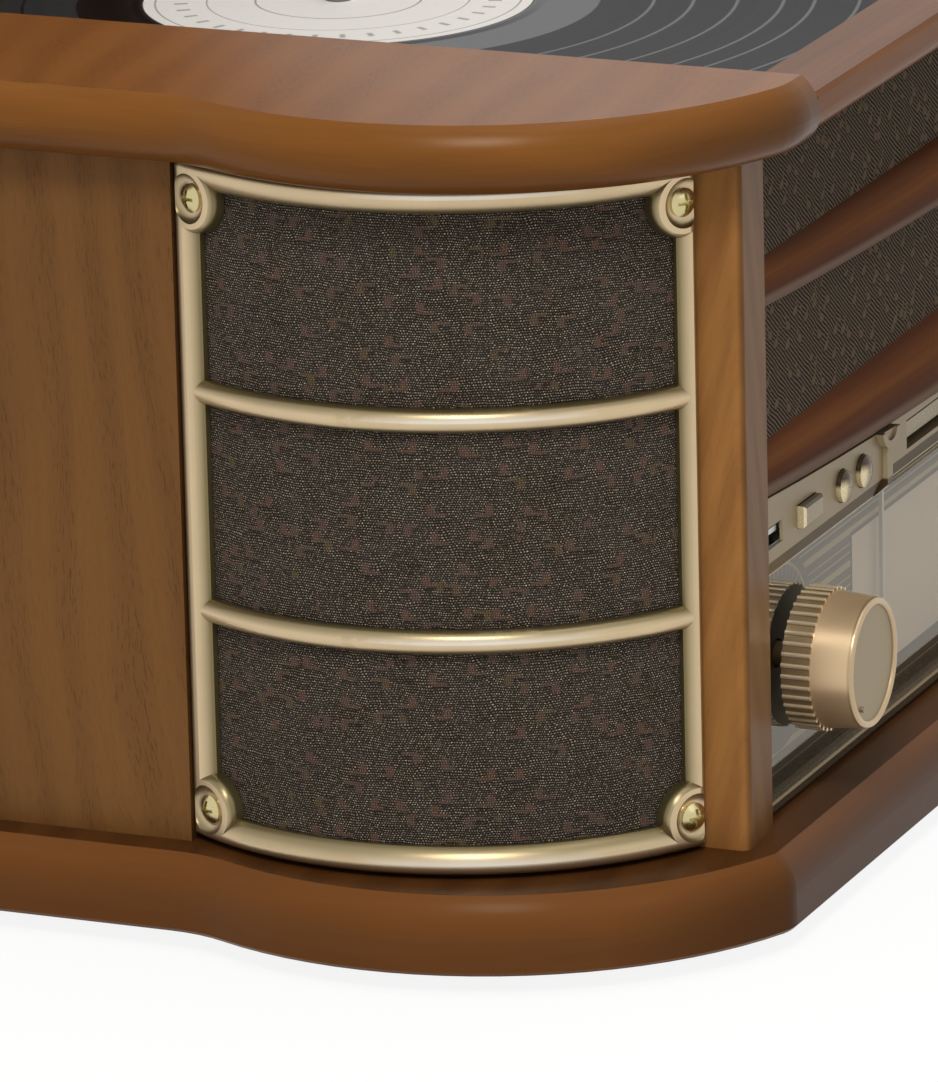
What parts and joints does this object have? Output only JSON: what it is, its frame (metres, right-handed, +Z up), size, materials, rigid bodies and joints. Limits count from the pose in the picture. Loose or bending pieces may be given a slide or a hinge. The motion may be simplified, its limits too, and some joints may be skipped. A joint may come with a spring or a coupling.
{
  "type": "audio and radio gear with dials",
  "caption": "Retro wooden stereo music centre: bulged speaker corners with gilt grilles, record player under an open lid, disc drawer, radio dial and ribbed knobs",
  "frame": {"origin": "on the floor under the middle of the cabinet, lid open", "axes": "+X to the right as seen from the front, +Y to the back, +Z up"},
  "size_m": [0.5112, 0.3711, 0.5338],
  "materials": {
    "walnut_top": "satin varnish over brown veneer",
    "walnut_case": "satin varnish over warm brown veneer",
    "red_wood": "glossy red-brown varnish",
    "inner_board": "plain fibreboard",
    "gold_frame": "satin champagne-gold lacquer",
    "gold_strip": "satin champagne lacquer",
    "gold_trim": "gilt edge trim",
    "gold_knob": "champagne anodised",
    "brass_screw": "polished brass",
    "side_cloth": "dark woven speaker cloth with light and red-brown flecks",
    "front_cloth": "dark diagonal twill with small raised flecks",
    "dial_window": "clear window",
    "dial_print": "printed dial with gold and grey bands",
    "pointer_red": "red pointer",
    "black_plastic": "fine-grained black",
    "deck_black": "fine-grained black deck",
    "platter_metal": "satin",
    "felt": "black felt",
    "vinyl": "black grooved disc, pale centre label",
    "arm_metal": "satin silver",
    "steel": "plain",
    "rubber": "black",
    "circuit": "green boards with parts",
    "paper_cone": "black paper and foam",
    "hinge_metal": "aged brass"
  },
  "bodies": {
    "cabinet": {"base_plinth": "walnut_case", "feet": "rubber", "side_panel_left": "walnut_case", "side_panel_right": "walnut_case", "well_side_left": "walnut_top", "well_side_right": "walnut_top", "post_left": "walnut_case", "post_right": "walnut_case", "back_panel": "inner_board", "top_board_left": "walnut_top", "top_board_right": "walnut_top", "front_rail": "walnut_top", "rear_rail": "walnut_top", "cloth_board": "front_cloth", "front_bar_upper": "red_wood", "front_bar_lower": "red_wood", "baffle_left": "inner_board", "baffle_right": "inner_board", "speaker_left": "paper_cone", "speaker_right": "paper_cone", "grille_cloth_left": "side_cloth", "grille_cloth_right": "side_cloth", "grille_frame_left": "gold_frame", "grille_frame_right": "gold_frame", "grille_screws": "brass_screw", "control_strip": "gold_strip", "usb_socket": "steel", "cd_loader": "steel", "dial_trim": "gold_trim", "dial_window": "dial_window", "dial_plate": "dial_print", "volume_control": "steel", "tuning_control": "black_plastic", "circuit_boards": "circuit", "rear_socket_panel": "black_plastic", "deck_plate": "deck_black", "platter_motor": "steel", "tonearm_base": "black_plastic", "hinge_fixed_leaves": "hinge_metal"},
    "lid": {"lid": "walnut_top", "hinge_lid_leaves": "hinge_metal"},
    "turntable": {"platter": "platter_metal", "slip_mat": "felt", "record": "vinyl"},
    "arm_yoke": {"tonearm_yoke": "arm_metal"},
    "arm": {"tonearm": "arm_metal", "cartridge": "black_plastic"},
    "cue_lever": {"lift_lever": "black_plastic"},
    "speed": {"speed_switch": "black_plastic"},
    "drawer": {"cd_tray": "gold_strip"},
    "volume": {"volume_knob": "gold_knob"},
    "tuning": {"tuning_knob": "gold_knob"},
    "pointer": {"dial_pointer": "pointer_red"},
    "power": {"power_button": "gold_strip"},
    "record_key": {"record_button": "gold_strip"},
    "function_key": {"function_button": "gold_strip"},
    "play_key": {"play_button": "gold_strip"},
    "stop_key": {"stop_button": "gold_strip"},
    "back_key": {"skip_back_button": "gold_strip"},
    "forward_key": {"skip_forward_button": "gold_strip"}
  },
  "joints": [
    {"name": "lid_hinge", "type": "hinge", "parent": "cabinet", "child": "lid", "pos_m": [0, 0.171, 0.20815], "axis": [1, 0, 0], "range_deg": [0, 65]},
    {"name": "turntable_bearing", "type": "hinge", "parent": "cabinet", "child": "turntable", "pos_m": [-0.025, 0.0055, 0.15], "axis": [0, 0, -1], "continuous": true},
    {"name": "arm_swing", "type": "hinge", "parent": "cabinet", "child": "arm_yoke", "pos_m": [0.14, 0.0905, 0.17], "axis": [0, 0, -1], "range_deg": [0, 46]},
    {"name": "arm_lift", "type": "hinge", "parent": "arm_yoke", "child": "arm", "pos_m": [0.14, 0.0905, 0.192], "axis": [-1, 0, 0], "range_deg": [0, 6]},
    {"name": "cue_lever_pivot", "type": "hinge", "parent": "cabinet", "child": "cue_lever", "pos_m": [0.166, 0.066, 0.1635], "axis": [-1, 0, 0], "range_deg": [0, 60]},
    {"name": "speed_slide", "type": "slide", "parent": "cabinet", "child": "speed", "axis": [0, -1, 0], "range_m": [0, 0.008]},
    {"name": "drawer_slide", "type": "slide", "parent": "cabinet", "child": "drawer", "axis": [0, -1, 0], "range_m": [0, 0.128]},
    {"name": "volume_turn", "type": "hinge", "parent": "cabinet", "child": "volume", "pos_m": [-0.1463, -0.16, 0.0576], "axis": [0, 1, 0], "range_deg": [0, 280]},
    {"name": "tuning_turn", "type": "hinge", "parent": "cabinet", "child": "tuning", "pos_m": [0.1463, -0.16, 0.0576], "axis": [0, 1, 0], "range_deg": [0, 270]},
    {"name": "pointer_slide", "type": "slide", "parent": "cabinet", "child": "pointer", "axis": [1, 0, 0], "range_m": [0, 0.16]},
    {"name": "power_press", "type": "slide", "parent": "cabinet", "child": "power", "axis": [0, 1, 0], "range_m": [0, 0.0012], "stiffness_N_per_m": 250},
    {"name": "record_press", "type": "slide", "parent": "cabinet", "child": "record_key", "axis": [0, 1, 0], "range_m": [0, 0.0012], "stiffness_N_per_m": 250},
    {"name": "function_press", "type": "slide", "parent": "cabinet", "child": "function_key", "axis": [0, 1, 0], "range_m": [0, 0.0012], "stiffness_N_per_m": 250},
    {"name": "play_press", "type": "slide", "parent": "cabinet", "child": "play_key", "axis": [0, 1, 0], "range_m": [0, 0.0012], "stiffness_N_per_m": 250},
    {"name": "stop_press", "type": "slide", "parent": "cabinet", "child": "stop_key", "axis": [0, 1, 0], "range_m": [0, 0.0012], "stiffness_N_per_m": 250},
    {"name": "back_press", "type": "slide", "parent": "cabinet", "child": "back_key", "axis": [0, 1, 0], "range_m": [0, 0.0012], "stiffness_N_per_m": 250},
    {"name": "forward_press", "type": "slide", "parent": "cabinet", "child": "forward_key", "axis": [0, 1, 0], "range_m": [0, 0.0012], "stiffness_N_per_m": 250}
  ],
  "couplings": [
    {"joint": "pointer_slide", "follows": "tuning_turn", "m_per_rad": 0.03395}
  ]
}
